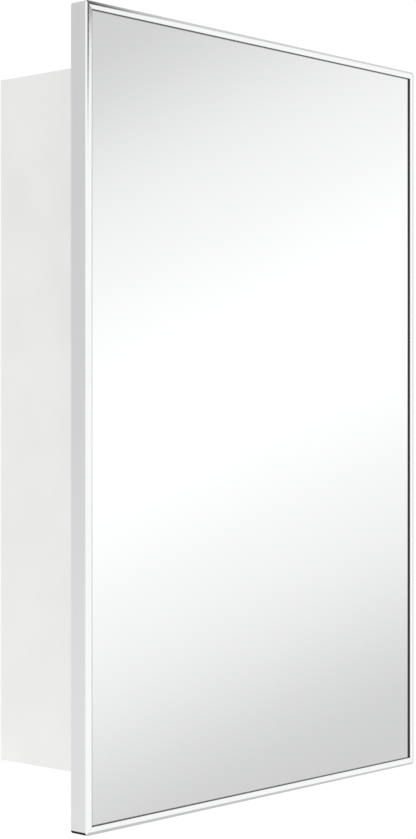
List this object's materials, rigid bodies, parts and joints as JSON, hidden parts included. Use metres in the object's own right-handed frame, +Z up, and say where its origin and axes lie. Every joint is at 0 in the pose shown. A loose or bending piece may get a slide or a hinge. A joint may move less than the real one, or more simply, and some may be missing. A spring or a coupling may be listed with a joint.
{
  "type": "medicine cabinet with mirror door",
  "caption": "Wall-hung sheet-steel medicine cabinet with a chrome-framed mirror door on a continuous hinge, glass shelves and a magnetic catch.",
  "frame": {"origin": "middle of the wall face, which is the outside of the back panel", "axes": "+Z up, +Y into the wall, +X to the right as seen from the front; the mirror faces -Y"},
  "size_m": [0.406, 0.1337, 0.61],
  "materials": {
    "cabinet_paint": "semi-gloss white powder coat",
    "frame_chrome": "bright polished chrome",
    "mirror": "silvered float glass, plain edge",
    "shelf_glass": "clear glass with polished edges",
    "zinc_steel": "bright zinc plate",
    "magnet": "sintered ferrite",
    "catch_plastic": "moulded nylon",
    "bumper_rubber": "soft grey rubber",
    "bead_rubber": "black glazing bead",
    "filler_board": "plain fibreboard"
  },
  "bodies": {
    "cabinet": {"back_panel": "cabinet_paint", "bottom_panel": "cabinet_paint", "catch_housing": "catch_plastic", "catch_magnet": "magnet", "catch_screw_lower": "zinc_steel", "catch_screw_upper": "zinc_steel", "door_bumper_left_lower": "bumper_rubber", "door_bumper_left_upper": "bumper_rubber", "door_bumper_middle_lower": "bumper_rubber", "door_bumper_middle_upper": "bumper_rubber", "hanging_rail": "zinc_steel", "hinge_leaf_cabinet": "zinc_steel", "hinge_pin": "zinc_steel", "hinge_screw_cabinet_1": "zinc_steel", "hinge_screw_cabinet_2": "zinc_steel", "hinge_screw_cabinet_3": "zinc_steel", "hinge_screw_cabinet_4": "zinc_steel", "hinge_screw_cabinet_5": "zinc_steel", "shelf_clip_lower_left_back": "zinc_steel", "shelf_clip_lower_left_front": "zinc_steel", "shelf_clip_lower_right_back": "zinc_steel", "shelf_clip_lower_right_front": "zinc_steel", "shelf_clip_upper_left_back": "zinc_steel", "shelf_clip_upper_left_front": "zinc_steel", "shelf_clip_upper_right_back": "zinc_steel", "shelf_clip_upper_right_front": "zinc_steel", "shelf_lower": "shelf_glass", "shelf_standard_left_back": "zinc_steel", "shelf_standard_left_front": "zinc_steel", "shelf_standard_right_back": "zinc_steel", "shelf_standard_right_front": "zinc_steel", "shelf_upper": "shelf_glass", "side_panel_left": "cabinet_paint", "side_panel_right": "cabinet_paint", "top_panel": "cabinet_paint"},
    "door": {"corner_key_lower_left": "zinc_steel", "corner_key_lower_right": "zinc_steel", "corner_key_upper_left": "zinc_steel", "corner_key_upper_right": "zinc_steel", "door_back_pan": "cabinet_paint", "door_filler": "filler_board", "glazing_bead": "bead_rubber", "hinge_leaf_door": "zinc_steel", "hinge_screw_door_1": "zinc_steel", "hinge_screw_door_2": "zinc_steel", "hinge_screw_door_3": "zinc_steel", "hinge_screw_door_4": "zinc_steel", "hinge_screw_door_5": "zinc_steel", "hinge_stiffener": "zinc_steel", "mirror_glass": "mirror", "rail_bottom": "frame_chrome", "rail_top": "frame_chrome", "stile_left": "frame_chrome", "stile_right": "frame_chrome", "strike_plate": "zinc_steel", "strike_screw_lower": "zinc_steel", "strike_screw_upper": "zinc_steel"}
  },
  "joints": [
    {"name": "door_hinge", "type": "hinge", "parent": "cabinet", "child": "door", "pos_m": [0.173, -0.11665, 0], "axis": [0, 0, 1], "range_deg": [0, 100]}
  ]
}
